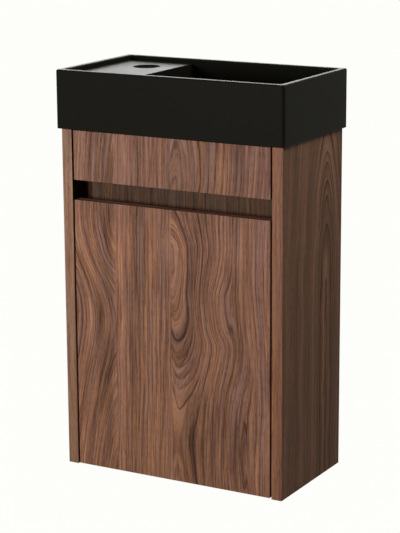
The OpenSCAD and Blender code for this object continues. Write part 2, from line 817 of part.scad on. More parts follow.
// Cabinet hanger: a moulded body inside each top back corner, with two adjusting sockets
module hanger_body(s) {
    color(grey_plastic) difference() {
        block([min(s*inner_x, s*(inner_x - hanger_w)), hanger_front_y, hanger_z],
              [max(s*inner_x, s*(inner_x - hanger_w)), hanger_front_y + hanger_d, hanger_z + hanger_h]);
        block([s*hook_x - hook_w/2 - fit, hanger_front_y + socket_in, hook_z - fit],
              [s*hook_x + hook_w/2 + fit, hanger_front_y + hanger_d + eps, hook_z + hook_t + fit]);
        for (z = adjuster_zs)
            round_y(s*hook_x, hanger_front_y - eps, hanger_front_y + adjuster_in, z, adjuster_d);
        for (z = hanger_screw_zs)
            round_x(s*(inner_x - hanger_w - eps), s*(inner_x + eps), hanger_screw_y, z,
                    wood_screw_d + fit);
    }
}

module hanger_body_left() { hanger_body(-1); }
module hanger_body_right() { hanger_body(1); }

// Hook: a flat bar out of the hanger, over the wall plate's lip and down behind it
module hanger_hook(s) {
    color(steel) {
        block([s*hook_x - hook_w/2, hanger_front_y + hook_in, hook_z],
              [s*hook_x + hook_w/2, hook_leg_y + hook_leg_t, hook_z + hook_t]);
        block([s*hook_x - hook_w/2, hook_leg_y, hook_z - hook_drop],
              [s*hook_x + hook_w/2, hook_leg_y + hook_leg_t, hook_z + eps]);
    }
}

module hanger_hook_left() { hanger_hook(-1); }
module hanger_hook_right() { hanger_hook(1); }

module hanger_screws() {
    color(steel) for (s = [-1, 1], z = hanger_screw_zs)
        translate([s*(inner_x - hanger_w), hanger_screw_y, z]) rotate([0, -90*s, 0])
            screw(wood_screw_d, hanger_w + wood_screw_in, head_d, head_h);
}

// Wall plate: flat on the wall, with a lip that stands off it for the hook
module wall_plate(s) {
    x0 = s*hook_x - wall_plate_w/2;
    x1 = s*hook_x + wall_plate_w/2;
    color(steel) difference() {
        union() {
            block([x0, wall_y - wall_plate_t, plate_foot_z], [x1, wall_y, plate_step_z + wall_plate_t]);
            block([x0, lip_y, plate_step_z], [x1, wall_y, plate_step_z + wall_plate_t]);
            block([x0, lip_y, plate_step_z], [x1, lip_y + wall_plate_t, hook_z]);
        }
        for (w = [-1, 1])
            round_y(s*hook_x, wall_y - wall_plate_t - eps, wall_y + eps,
                    wall_screw_z + w*wall_screw_pitch/2, wall_screw_d);
    }
}

module wall_plate_left() { wall_plate(-1); }
module wall_plate_right() { wall_plate(1); }

basin();
side_left();
side_right();
bottom_panel();
front_rail();
slot_back();
fascia();
hanging_rail();
lower_rail();
shelf();
shelf_pins();
door();
cam_locks();
cam_bolts();
dowels();
fascia_brackets();
fascia_screws();
hinge_plate_upper();
hinge_plate_lower();
hinge_arm_upper();
hinge_arm_lower();
hinge_cup_upper();
hinge_cup_lower();
hinge_pins();
plate_screws();
arm_screws();
cup_screws();
catch_body_upper();
catch_body_lower();
catch_magnets();
catch_screws();
catch_plates();
catch_plate_screws();
hanger_body_left();
hanger_body_right();
hanger_hook_left();
hanger_hook_right();
hanger_screws();
wall_plate_left();
wall_plate_right();
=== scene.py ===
# %% [markdown]
# # A cloakroom vanity unit
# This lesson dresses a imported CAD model: a matt black basin on a walnut cabinet with an inset
# door. The CAD solids give every place and size. Blender adds rounded edges, the cast form of
# the basin, real screws, and finishes made only from shader nodes.

# %% Load the fixed frame
import math
from functools import partial

import bmesh
import bpy
from mathutils import Matrix, Vector


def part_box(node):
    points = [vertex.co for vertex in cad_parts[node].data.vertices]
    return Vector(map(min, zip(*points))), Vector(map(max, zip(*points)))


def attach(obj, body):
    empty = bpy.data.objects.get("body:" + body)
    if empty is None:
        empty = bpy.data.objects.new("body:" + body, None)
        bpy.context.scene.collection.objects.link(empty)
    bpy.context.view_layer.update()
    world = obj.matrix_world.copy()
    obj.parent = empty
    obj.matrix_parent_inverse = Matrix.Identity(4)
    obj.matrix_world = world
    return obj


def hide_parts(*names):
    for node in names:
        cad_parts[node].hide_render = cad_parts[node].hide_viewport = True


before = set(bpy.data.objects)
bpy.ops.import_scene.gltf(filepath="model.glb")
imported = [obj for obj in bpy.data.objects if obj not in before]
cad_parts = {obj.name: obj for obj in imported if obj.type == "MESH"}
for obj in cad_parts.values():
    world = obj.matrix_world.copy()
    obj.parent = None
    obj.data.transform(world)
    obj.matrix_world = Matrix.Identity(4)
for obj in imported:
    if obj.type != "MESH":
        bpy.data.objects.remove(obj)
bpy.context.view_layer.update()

MM = 0.001
# points nearer than a micrometre count as one
TOUCH = 1e-6

# %% [markdown]
# ## Helpers
# Colours are written as sRGB hex, because that is how a paint chart gives them, and the shader
# wants linear numbers, so one function turns them. A second function adds a shader or geometry
# node with its settings and links, which keeps each tree short enough to read. In what follows,
# add is that function held to one tree.

# %% Colour and node helpers
def linear(code):
    """An sRGB hex colour as linear red, green, blue and alpha."""
    parts = [int(code[i:i + 2], 16) / 255 for i in (1, 3, 5)]
    return [c / 12.92 if c <= 0.04045 else ((c + 0.055) / 1.055) ** 2.4 for c in parts] + [1.0]


def put(tree, kind, *links, **settings):
    """Adds a node, whose kind goes without ShaderNode, GeometryNode or FunctionNode; "Math ADD"
    is a Math node set to ADD. links fill its sockets in their order, or by name or number if
    they are a dict: with a value, a node's first output or (node, output)."""
    kind, _, mode = kind.partition(" ")
    families = ("ShaderNode", "GeometryNode", "FunctionNode", "")
    made = tree.nodes.new(next(f + kind for f in families if hasattr(bpy.types, f + kind)))
    if mode:
        settings["data_type" if kind == "Mix" else "operation"] = mode
    for name, value in settings.items():
        setattr(made, name, value)
    by_name = links and isinstance(links[0], dict)
    for key, value in links[0].items() if by_name else enumerate(links):
        if isinstance(value, bpy.types.Node):
            value = (value, 0)
        if isinstance(value, tuple) and isinstance(value[0], bpy.types.Node):
            tree.links.new(value[0].outputs[value[1]], made.inputs[key])
        else:
            made.inputs[key].default_value = value
    return made


def sockets(tree, way, kind, *names):
    """Gives a node group its named inputs or outputs of one kind."""
    for name in names:
        tree.interface.new_socket(name, in_out=way, socket_type="NodeSocket" + kind)


def new_material(name):
    """A material with an empty tree, and the function that adds nodes to it."""
    made = bpy.data.materials.new(name)
    made.use_nodes = True
    made.node_tree.nodes.clear()
    return made, partial(put, made.node_tree)


def in_scene(name, data):
    """An object with this data, linked to the scene."""
    made = bpy.data.objects.new(name, data)
    bpy.context.scene.collection.objects.link(made)
    return made


print("helpers ready; mid grey #808080 is", round(linear("#808080")[0], 3), "in linear light")

# %% [markdown]
# ## Camera and light
# The camera stands where the photograph's edges say it stood: 2.9 m away, turned 29 degrees to
# the right and looking 13 degrees down, with a long lens. A big soft lamp, low in front, lights
# the front evenly, and it stands so far left that the right side stays in shade. A small lamp
# high on the right lifts that side towards its top. A soft box behind the unit has a narrow beam
# that meets only the basin, and draws the pale glance on the level faces of the black glaze.

# %% Camera
CAMERA_PLACE, LENS, SENSOR = (1.433, -2.549, 1.028), 127.2, 36
YAW, PITCH, ROLL = (math.radians(a) for a in (29.42, 13.44, -0.35))

turn = (Matrix.Rotation(YAW, 4, "Z") @ Matrix.Rotation(math.pi / 2 - PITCH, 4, "X")
        @ Matrix.Rotation(ROLL, 4, "Z"))
camera_data = bpy.data.cameras.new("camera")
camera_data.sensor_width, camera_data.lens, camera_data.clip_end = SENSOR, LENS, 50
camera = in_scene("camera", camera_data)
camera.matrix_world = Matrix.Translation(CAMERA_PLACE) @ turn
bpy.context.scene.camera = camera
bpy.context.scene.view_settings.view_transform = "Standard"
print("camera", [round(v, 3) for v in camera.location], "lens", LENS, "mm")

# %% Lamps
def soft_lamp(name, place, aim, wide, tall, watts, beam=180):
    """An area lamp at place that faces aim and shines within `beam` degrees."""
    data = bpy.data.lights.new(name, "AREA")
    data.shape = "RECTANGLE"
    data.size, data.size_y = wide, tall
    data.energy = watts
    data.spread = math.radians(beam)
    look = (Vector(aim) - Vector(place)).to_track_quat("-Z", "Y")
    in_scene(name, data).matrix_world = Matrix.Translation(place) @ look.to_matrix().to_4x4()


MIDDLE = (0, 0, 0.35)
soft_lamp("key_lamp", (-0.9, -2.9, 0.75), MIDDLE, 0.9, 1.0, 58)
soft_lamp("side_lamp", (0.9, 0.3, 1.5), MIDDLE, 0.6, 0.6, 8.0)
soft_lamp("back_box", (-0.95, 1.55, 1.25), (-0.05, 0, 0.64), 1.1, 1.1, 2.7, 60)

# %% World and floor
def white_ray(add):
    """1 for camera, mirror and transmission rays, which see a plain white room."""
    path = add("LightPath")
    one = add("Math MAXIMUM", (path, "Is Camera Ray"), (path, "Is Glossy Ray"))
    return add("Math MAXIMUM", one, (path, "Is Transmission Ray"))


AMBIENT = 0.05
world = bpy.data.worlds.new("studio")
bpy.context.scene.world = world
world.use_nodes = True
world.node_tree.nodes.clear()
add = partial(put, world.node_tree)
strength = add("MapRange", white_ray(add), 0.0, 1.0, AMBIENT, 1.0)
add("OutputWorld", add("Background", linear("#fefefb"), strength))

floor_finish, add = new_material("pale_studio_floor")
shade = add("BsdfDiffuse", linear("#8c8c8a"))
glow = add("Emission", linear("#fffffc"), 1.0)
# seen or mirrored, the floor is white paper with a trace of shadow, but its glow lights nothing
SEEN_GLOW = 0.985
share = add("Math MULTIPLY", white_ray(add), SEEN_GLOW)
paper = add("MixShader", share, shade, glow)
# from below one looks through it, at the underside of the unit
under = add("MixShader", (add("NewGeometry"), "Backfacing"), paper, add("BsdfTransparent"))
add("OutputMaterial", under)
floor_mesh = bpy.data.meshes.new("studio_floor")
FLOOR, FLOOR_Z = 40.0, -0.3 * MM
corners = [(x * FLOOR, y * FLOOR, FLOOR_Z) for x, y in ((-1, -1), (1, -1), (1, 1), (-1, 1))]
floor_mesh.from_pydata(corners, [], [(0, 1, 2, 3)])
floor_mesh.materials.append(floor_finish)
in_scene("studio_floor", floor_mesh)
print("world strength", AMBIENT, "as light and 1.0 as background")

# %% [markdown]
# ## Walnut laminate
# The boards are chipboard under a printed walnut laminate. Plain-sawn walnut shows arches,
# because the saw cuts the year rings at a slant. A ring is where one number is the same: the
# distance to the tree's heart. So each board gets a node chain that works out that distance in
# millimetres, with arches near a heart and plain uprights elsewhere, and one shared group
# then paints rings, bands, mauve and tan streaks, fibres and pores from it, and a little painted
# glare towards the top. The sheet of the front is matched from three veneers, so the figure
# breaks at two upright seams, and a few soft patches tone it; the widest of them is painted
# light across the upper door. Everything reads Object coordinates, so the figure runs on from
# the fascia to the door, as it does where both are cut in one sheet.

# %% Walnut colours from the ring distance
RING = 5.5
BAND_DARK, BAND_LIGHT, MAUVE, TAN = "#5b3930", "#875a49", "#a68072", "#bf8762"
FIBRE, LINE, PORE = "#b68d75", "#341a11", "#41261b"


def walnut_group():
    """Group that paints walnut. Rings is the distance to the heart in millimetres and Slope how
    much it changes in a millimetre; Across, Along and Deep are plain places in millimetres."""
    tree = bpy.data.node_groups.new("walnut_print", "ShaderNodeTree")
    sockets(tree, "INPUT", "Float", "Rings", "Slope", "Across", "Along", "Deep", "Tone", "Shade",
        "Figure", "Streak", "Seed")
    sockets(tree, "INPUT", "Color", "Cast")
    sockets(tree, "OUTPUT", "Color", "Color")
    sockets(tree, "OUTPUT", "Float", "Height")
    add = partial(put, tree)
    given = add("NodeGroupInput")
    along, across, slope = (given, "Along"), (given, "Across"), (given, "Slope")

    def noise(across, wide, long, detail, roughness=0.5):
        """Noise whose patches are about wide x long millimetres."""
        at = add("CombineXYZ", add("Math MULTIPLY", across, 1 / wide),
            add("Math MULTIPLY", along, 1 / long),
            add("Math ADD", (given, "Seed"), (given, "Deep")))
        return add("TexNoise",
            {"Vector": at, "Scale": 1.0, "Detail": detail, "Roughness": roughness})

    def streaked(share):
        """A share of 0 to 1 that Streak draws in towards the middle."""
        return add("Math MULTIPLY_ADD", add("Math SUBTRACT", share, 0.5), (given, "Streak"), 0.5)

    # rings wander by a few millimetres along the board
    wander = add("Math SUBTRACT", noise(across, 42, 110, 2.0), 0.5)
    wander = add("Math MULTIPLY", wander, add("Math MULTIPLY", slope, 7.0))
    bent = add("Math ADD", (given, "Rings"), wander)
    shifted = add("Math MULTIPLY_ADD", (given, "Seed"), 173.0, bent)

    # chance numbers that change with the ring distance: slow, quicker, and slow with more detail
    drift, strength, band = (
        add("TexNoise", {"W": shifted, "Scale": scale, "Detail": detail}, noise_dimensions="1D")
        for scale, detail in ((0.06, 2.0), (0.11, 0.0), (0.06, 3.0)))

    # year rings RING mm apart on average: a thin dark line, and before it a tone that deepens
    count = add("Math MULTIPLY_ADD", drift, 2.2, add("Math MULTIPLY", shifted, 1 / RING))
    step = add("Math FRACT", count)
    near = add("Math MINIMUM", step, add("Math SUBTRACT", 1.0, step))
    near = add("Math DIVIDE", add("Math MULTIPLY", near, RING), slope)
    line = add("MapRange", near, 0.15, 1.0, 1.0, 0.0, interpolation_type="SMOOTHSTEP")
    soft = add("MapRange", step, 0.35, 1.0, 0.0, 0.3)
    dark = add("Math MULTIPLY_ADD", line, 0.66, soft)
    # some rings are strong, some hardly show, and all fade here and there
    strength = add("MapRange", strength, 0.32, 0.6, 0.6, 0.95)
    fade = add("MapRange", noise(across, 22, 60, 2.0), 0.28, 0.55, 0.45, 1.0)
    strength = add("Math MULTIPLY", add("Math MULTIPLY", strength, fade), (given, "Figure"))
    dark = add("Math MINIMUM", add("Math MULTIPLY", dark, strength), 0.78)

    # broad bands 15 to 50 mm wide, streaks 1 to 4 mm wide and half a hand long, and pores
    band = add("MapRange", add("Math ADD", band, (given, "Tone")), 0.25, 0.75)
    flow = add("Math MULTIPLY_ADD", across, 0.15, shifted)
    tint = streaked(add("MapRange", noise(flow, 3.6, 150, 5.0, 0.75), 0.4, 0.62))
    fibre = add("Math MULTIPLY_ADD", shifted, 0.4, across)
    fibre = add("MapRange", noise(fibre, 2.2, 60, 2.0), 0.4, 0.64)
    fibre = add("Math MULTIPLY", fibre, (given, "Streak"))
    pore = add("MapRange", noise(across, 0.8, 14, 2.0), 0.3, 0.46, 0.5, 0.0)

    # the print turns from mauve to tan in broad streaks, and is a little tanner further down,
    # which is painted glare: greyer and more mauve higher up
    hue_and_glare = add("Math MULTIPLY_ADD", along, -0.0003, noise(flow, 12, 220, 2.0))
    hue_and_glare = streaked(add("MapRange", hue_and_glare, 0.25, 0.52))
    base = add("Mix RGBA", {0: band, 6: linear(BAND_DARK), 7: linear(BAND_LIGHT)})
    pale = add("Mix RGBA", {0: hue_and_glare, 6: linear(MAUVE), 7: linear(TAN)})
    wood = add("Mix RGBA", {0: tint, 6: (base, 2), 7: (pale, 2)})
    fibre = add("Math MULTIPLY", fibre, 0.33)
    for share, colour in ((fibre, FIBRE), (dark, LINE), (pore, PORE)):
        wood = add("Mix RGBA", {0: share, 6: (wood, 2), 7: linear(colour)})
    lift = add("Math MULTIPLY_ADD", (given, "Tone"), 1.2, 0.85)
    lift = add("Math MULTIPLY_ADD", band, 0.28, lift)
    shaded = add("VectorMath SCALE",
        {0: (wood, 2), "Scale": add("Math MULTIPLY", lift, (given, "Shade"))})
    shaded = add("VectorMath MULTIPLY", shaded, (given, "Cast"))
    height = add("Math SUBTRACT", 1.0, add("Math ADD", dark, pore))
    add("NodeGroupOutput", shaded, height)
    return tree


WALNUT = walnut_group()
print("walnut group:", len(WALNUT.nodes), "nodes, rings", RING, "mm apart")

# %% Places and profiles
def millimetres(add):
    """Object coordinates in millimetres, as the three outputs x, y and z."""
    place = add("TexCoord")
    place = add("VectorMath SCALE", {0: (place, "Object"), "Scale": 1000.0})
    place = add("SeparateXYZ", place)
    return (place, 0), (place, 1), (place, 2)


def profile(add, value, points):
    """A smooth curve through (mm, value) points."""
    low, high = points[0][0], points[-1][0]
    floor = min(p[1] for p in points)
    reach = (max(p[1] for p in points) - floor) or 1.0
    at = add("MapRange", value, low, high)
    made = add("FloatCurve", {"Value": at})
    curve = made.mapping.curves[0]
    ends = [((z - low) / (high - low), (v - floor) / reach) for z, v in points]
    curve.points[0].location = ends[0]
    curve.points[1].location = ends[-1]
    for x, y in ends[1:-1]:
        curve.points.new(x, y)
    made.mapping.update()
    return add("Math MULTIPLY_ADD", made, reach, floor)


# %% Hearts
# squeeze works up to SQUEEZED mm beside the heart, and the uprights count from FAR_UP
SQUEEZED, FAR_UP = 28.0, 30.0


def heart(add, across, along, centre, left, right, points, power, steep, squeeze=None,
          plain=None):
    """Ring distance round a heart line at `centre`, and its slope.
    left and right say how fast the rings follow each other on either side, points give the
    heart's depth along the board and steep how fast it changes there, a power of 2 makes round
    arches and one near 1 pointed ones. squeeze narrows the arches close to the heart, and
    between the two distances of plain they run out into uprights."""
    off = add("Math SUBTRACT", across, centre)
    aside = add("Math MAXIMUM", off, 0.0)
    even = add("Math MULTIPLY", aside, right)
    reach = add("Math MULTIPLY_ADD", add("Math MINIMUM", off, 0.0), -left, even)
    if squeeze:
        tight = add("Math MULTIPLY", add("Math MINIMUM", aside, SQUEEZED),
            profile(add, along, squeeze))
        reach = add("Math ADD", reach, tight)
    depth = profile(add, along, points)
    total = add("Math ADD", add("Math POWER", reach, power), add("Math POWER", depth, power))
    arch = add("Math POWER", total, 1 / power)
    share = add("Math DIVIDE", reach, add("Math MAXIMUM", arch, 0.01))
    slope = add("Mix", {0: share, 2: profile(add, along, steep), 3: right})
    if plain:
        far = add("MapRange", off, plain[0], plain[1], interpolation_type="SMOOTHSTEP")
        arch = add("Mix", {0: far, 2: arch, 3: add("Math ADD", even, FAR_UP)})
        slope = add("Mix", {0: far, 2: slope, 3: right})
    return arch, slope


def finish_walnut(add, figure, seed, cast, **links):
    """Walnut print on a satin laminate: a thin bump follows rings and pores."""
    wood = add("Group", {"Figure": figure, "Seed": seed, "Cast": cast, "Slope": 1.0, "Shade": 1.0,
            "Streak": 1.0, **links}, node_tree=WALNUT)
    sheen = add("MapRange", (wood, "Height"), 0.0, 1.0, 0.62, 0.52)
    relief = add("Bump", {"Height": (wood, "Height"), "Strength": 0.3, "Distance": 0.2 * MM})
    skin = add("BsdfPrincipled", {"Base Color": (wood, "Color"), "Roughness": sheen,
            "Normal": relief, "IOR": 1.45, "Specular IOR Level": 0.04})
    add("OutputMaterial", skin)


# %% Laminate of the front
LEFT_SEAM, EYE_SEAM = -100.0, 1.5
# how close the rings lie in the left strip, the plain middle and the eye strip
LEFT_DENSE, PLAIN_DENSE, EYE_DENSE = 0.60, 0.75, 0.64
# tables from millimetres to a value. The depth of the heart at each height, and how fast it
# changes there, for the half arch on the left and for the eye:
LEFT_DEPTH = [(0, 4), (60, 24), (100, 38), (150, 56), (187, 70), (220, 80), (250, 84), (280, 80),
    (300, 72), (318, 62), (345, 40), (380, 20), (430, 5), (480, 14), (560, 30)]
LEFT_STEEP = [(0, 0.35), (187, 0.35), (250, 0.12), (300, 0.5), (345, 0.7), (400, 0.4), (430, 0.2),
    (560, 0.25)]
EYE_DEPTH = [(0, 93), (30, 96), (65, 98), (100, 95), (143, 88), (170, 79), (196, 69), (220, 60),
    (240, 52), (262, 44), (300, 28), (335, 11), (365, 0), (395, 22), (425, 46), (455, 56),
    (490, 59), (520, 64), (560, 72)]
EYE_STEEP = [(0, 0.1), (65, 0.1), (100, 0.14), (143, 0.3), (170, 0.4), (270, 0.42), (335, 0.45),
    (365, 0.4), (400, 0.75), (440, 0.4), (470, 0.2), (560, 0.2)]
# where the eye's centre line runs, how its arches narrow, and where they run out to the right:
EYE_CENTRE = [(0, 12), (65, 12), (140, 14), (220, 12), (260, 8), (300, 4), (340, 2), (430, 3),
    (470, 8), (518, 13), (560, 14)]
EYE_SQUEEZE = [(0, 0.0), (250, 0.0), (285, 0.25), (340, 0.65), (440, 0.65), (560, 0.4)]
EYE_ENDS = (14.0, 110.0)
# two sways of the uprights on the right: how far at each height, and how much each one follows:
HIGH_SWAY = [(0, 0), (190, 0), (225, 2), (250, 12), (280, 18), (305, 17), (330, 11), (360, 4),
    (400, 0), (560, 0)]
HIGH_SHARE = [(-180, 0), (22, 0), (45, 0.4), (65, 0.65), (84, 0.85), (112, 0.15), (140, 0),
    (180, 0)]
LOW_SWAY = [(0, 21), (50, 25), (110, 25), (150, 21), (180, 14), (210, 6), (240, 1), (270, 0),
    (560, 0)]
LOW_SHARE = [(-180, 0), (15, 0), (45, 0.45), (70, 0.8), (108, 1.0), (135, 0.5), (158, 0.1),
    (180, 0)]
# the tone across the sheet, and how clearly its lines are drawn, the arches more than the rest:
TONE = [(-190, 0.08), (-168, 0.08), (-150, 0.02), (-128, -0.02), (-112, -0.02), (-101, 0.1),
    (-92, 0.13), (-84, 0.09), (-74, -0.07), (-57, -0.07), (-45, 0.01), (-30, 0.03), (-12, 0.03),
    (15, 0.04), (35, 0.0), (55, -0.04), (75, 0.02), (92, 0.02), (112, -0.06), (126, -0.04),
    (145, 0.08), (160, 0.05), (190, 0.04)]
FIGURE = [(-180, 1.1), (-101, 1.1), (-99, 0.62), (0, 0.62), (2, 1.3), (45, 1.25), (75, 0.95),
    (120, 0.8), (180, 0.5)]
# soft patches: across, along, half width, half height in mm, and tone; the last, as wide as the
# sheet, is painted light along the upper door
PATCHES = [(-114, 430, 12, 100, -0.15), (-146, 245, 6, 50, 0.22), (-120, 185, 18, 95, -0.20),
    (-166, 230, 12, 230, -0.09), (-105, 25, 10, 40, -0.14), (-70, 515, 9, 55, 0.16),
    (-53, 380, 11, 80, -0.12), (52, 385, 14, 80, -0.12), (17, 228, 20, 34, -0.16),
    (38, 60, 26, 80, -0.22), (93, 285, 8, 46, 0.14), (125, 215, 14, 50, -0.13),
    (116, 65, 20, 75, -0.22), (0, 385, 400, 42, 0.09)]


def patchy(add, x, z, patches):
    """The sum of soft oval patches."""
    total = 0.0
    for middle, height, wide, tall, tone in patches:
        aside = add("Math MULTIPLY_ADD", x, 1 / wide, -middle / wide)
        above = add("Math MULTIPLY_ADD", z, 1 / tall, -height / tall)
        away = add("Math MULTIPLY_ADD", above, above, add("Math MULTIPLY", aside, aside))
        soft = add("Math EXPONENT", add("Math MULTIPLY", away, -1.0))
        total = add("Math MULTIPLY_ADD", soft, tone, total)
    return total


def walnut_front():
    """Fascia and door: a half arch on the left, plain uprights, an eye, and waves on the right."""
    made, add = new_material("walnut_laminate_front")
    x, y, z = millimetres(add)
    bent = x
    for sway, share in ((HIGH_SWAY, HIGH_SHARE), (LOW_SWAY, LOW_SHARE)):
        bent = add("Math MULTIPLY_ADD", profile(add, z, sway), profile(add, x, share), bent)
    # the uprights lean by two hundredths
    lean = add("Math ADD", add("Math MULTIPLY_ADD", z, -0.022, bent), 9.7)
    left, left_slope = heart(add, x, z, LEFT_SEAM, 1.4, 1.0, LEFT_DEPTH, 1.3, LEFT_STEEP)
    eye, eye_slope = heart(add, bent, z, profile(add, z, EYE_CENTRE), 2.4, 1.2, EYE_DEPTH, 1.75,
        EYE_STEEP, EYE_SQUEEZE, EYE_ENDS)
    is_left = add("Math LESS_THAN", x, LEFT_SEAM)
    is_eye = add("Math GREATER_THAN", x, EYE_SEAM)

    def strips(plain, left, eye):
        """The value of the plain middle, of the left strip or of the eye strip."""
        value = add("Mix", {0: is_left, 2: plain, 3: left})
        return add("Mix", {0: is_eye, 2: value, 3: eye})

    rings = strips(add("Math MULTIPLY", lean, PLAIN_DENSE),
        add("Math MULTIPLY", left, -LEFT_DENSE), add("Math MULTIPLY_ADD", eye, EYE_DENSE, 400.0))
    slope = strips(PLAIN_DENSE, add("Math MULTIPLY", left_slope, LEFT_DENSE),
        add("Math MULTIPLY", eye_slope, EYE_DENSE))
    tone = add("Math ADD", profile(add, lean, TONE), patchy(add, x, z, PATCHES))
    # the middle of the eye is plain
    open_eye = add("MapRange", eye, 22.0, 45.0, 0.3, interpolation_type="SMOOTHSTEP")
    open_eye = add("Math MAXIMUM", open_eye, add("Math SUBTRACT", 1.0, is_eye))
    figure = add("Math MULTIPLY", profile(add, x, FIGURE), open_eye)
    # the sheet is a little more mauve towards its right edge
    right = add("MapRange", x, 95.0, 150.0)
    cast = add("Mix RGBA", {0: right, 6: linear("#ffffff"), 7: linear("#f7f8ff")})
    finish_walnut(add, figure, 0.0, (cast, 2), Rings=rings, Slope=slope, Across=x, Along=z,
        Tone=tone)
    return made


# %% Laminate of the side panels
SIDE_DEPTH = [(0, 0), (300, 0), (323, 4), (370, 14), (406, 24), (456, 35), (476, 41.5),
    (513, 52), (560, 66)]
SIDE_STEEP = [(0, 0.1), (300, 0.1), (323, 0.2), (400, 0.25), (560, 0.28)]
SIDE_TONE = [(-102, -0.1), (-76, -0.07), (-58, -0.16), (-45, -0.04), (-25, -0.03), (-12, -0.12),
    (4, -0.09), (30, -0.03), (62, -0.02), (80, -0.1), (104, -0.2)]
SIDE_FIGURE = [(-102, 0.45), (15, 0.45), (34, 2.5), (66, 2.5), (82, 0.6), (104, 0.6)]
SIDE_PATCHES = [(54, 150, 4, 190, -0.22)]
# how close the rings lie, and how much broader than on the front their lines are
SIDE_DENSE, SIDE_BROAD = 0.55, 2.4
# the finger slot reaches back to SLOT_BACK and down to SLOT_FOOT, within HALF_INSIDE of the
# middle;
# the last number darkens its ends as painted shade
SLOT_BACK, SLOT_FOOT, HALF_INSIDE, SLOT_END_PAINTED_SHADE = -64.0, 438.0, 180.0, 0.15


def walnut_side():
    """Side panels: calm uprights with small arches high up towards the back."""
    made, add = new_material("walnut_laminate_side")
    x, y, z = millimetres(add)
    arch, slope = heart(add, y, z, 49.0, 1.3, 1.3, SIDE_DEPTH, 1.6, SIDE_STEEP)
    tone = add("Math ADD", profile(add, y, SIDE_TONE), patchy(add, y, z, SIDE_PATCHES))
    # painted shade: the ends of the finger slot are darkened, more than its back
    end = add("Math MULTIPLY", add("Math LESS_THAN", y, SLOT_BACK),
        add("Math GREATER_THAN", z, SLOT_FOOT))
    end = add("Math MULTIPLY", end, add("Math LESS_THAN", add("Math ABSOLUTE", x), HALF_INSIDE))
    # the two panels are cut from different places of the sheet
    finish_walnut(add, profile(add, y, SIDE_FIGURE), 1.3, linear("#f8fff5"), Streak=0.32,
        Rings=add("Math MULTIPLY", arch, SIDE_DENSE),
        Slope=add("Math MULTIPLY", slope, SIDE_DENSE * SIDE_BROAD), Across=y, Along=z,
        Deep=add("Math MULTIPLY", x, 0.05), Tone=tone,
        Shade=add("Math MULTIPLY_ADD", end, SLOT_END_PAINTED_SHADE - 1.0, 1.0))
    return made


# %% Laminate of plain boards and edge bands
# the back of the finger slot is darkened as painted shade, and the edges that bound the slot are
# lightened as painted light
SLOT_PAINTED_SHADE, SLOT_EDGE_PAINTED_LIGHT = 0.39, 1.12
# painted light on the front edges of the side panels, as a factor at each height: the right strip,
# then the left
RIGHT_STRIP_PAINTED_LIGHT = [(0, 0.89), (280, 0.91), (400, 1.03), (560, 1.02)]
LEFT_STRIP_PAINTED_LIGHT = [(0, 1.11), (150, 1.17), (250, 1.29), (350, 1.46), (420, 1.46), (500, 1.36),
    (560, 1.33)]


def walnut_plain(name, figure, seed, run=2, shade=1.0, cast="#ffffff"):
    """Boards and edge bands with straight grain; the print runs along the axis `run`."""
    made, add = new_material(name)
    place = millimetres(add)
    first, second = [place[axis] for axis in range(3) if axis != run]
    across = add("Math ADD", first, second)
    finish_walnut(add, figure, seed, linear(cast), Rings=across, Across=across, Along=place[run],
        Shade=shade, Deep=add("Math MULTIPLY", second, 0.05))
    return made


def walnut_strip():
    """Front edges of the side panels, with painted light: the left one is paler and greyer
    towards its top, as a painted highlight, and the right one is darker towards its foot.
    """
    made, add = new_material("walnut_edge_band_front")
    x, y, z = millimetres(add)
    is_left = add("Math LESS_THAN", x, 0.0)
    cast = add("Mix RGBA", {0: is_left, 6: linear("#fff8f1"), 7: linear("#f3ffff")})
    shade = add("Mix",
        {0: is_left, 2: profile(add, z, RIGHT_STRIP_PAINTED_LIGHT), 3: profile(add, z, LEFT_STRIP_PAINTED_LIGHT)})
    across = add("Math ADD", x, y)
    finish_walnut(add, 0.15, 4.7, (cast, 2), Streak=0.6, Rings=across, Across=across, Along=z,
        Shade=shade, Deep=add("Math MULTIPLY", y, 0.05))
    return made


FRONT = walnut_front()
SIDE = walnut_side()
INNER = walnut_plain("walnut_laminate_inner", 0.3, 2.2)
LEVEL = walnut_plain("walnut_laminate_level", 0.35, 3.1, 0)
# the back of the finger slot: a plain sheet darkened and tinted, as painted shade
SLOT = walnut_plain("walnut_laminate_slot_back_painted_shade", 0.3, 5.6, 2, SLOT_PAINTED_SHADE, "#f3fffc")
# the edges that bound the slot: the level sheet made a little lighter, as painted light
SLOT_EDGE = walnut_plain("walnut_edge_band_painted_light", 0.35, 3.1, 0, SLOT_EDGE_PAINTED_LIGHT)
STRIP = walnut_strip()
BANDS = [walnut_plain("walnut_edge_band_" + "xyz"[axis], 0.15, 4.7, axis) for axis in range(3)]
print("wood materials:", [m.name for m in bpy.data.materials if m.name.startswith("walnut")])

# %% [markdown]
# ## Boards
# A CAD board is a box with sharp edges and drilled holes. A real one has its edges eased by
# about half a millimetre where the edge band is trimmed, and that small round is what catches
# the light. So each board is copied, its loose triangles are merged, and only the edges that
# lie on the outline of the box get a bevel. The thin sides get an edge band whose print runs
# along them, and the backs of door and fascia get a plainer sheet than their fronts.

# %% Bevelled boards
def merged(mesh):
    """A mesh opened for editing, with the corners that lie on one another merged."""
    work = bmesh.new()
    work.from_mesh(mesh)
    bmesh.ops.remove_doubles(work, verts=work.verts, dist=TOUCH)
    return work


def merged_copy(node):
    """A CAD node's mesh, merged and with its flat faces joined."""
    work = merged(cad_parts[node].data)
    bmesh.ops.dissolve_limit(work, angle_limit=math.radians(0.5), verts=work.verts,
                             edges=work.edges)
    return work


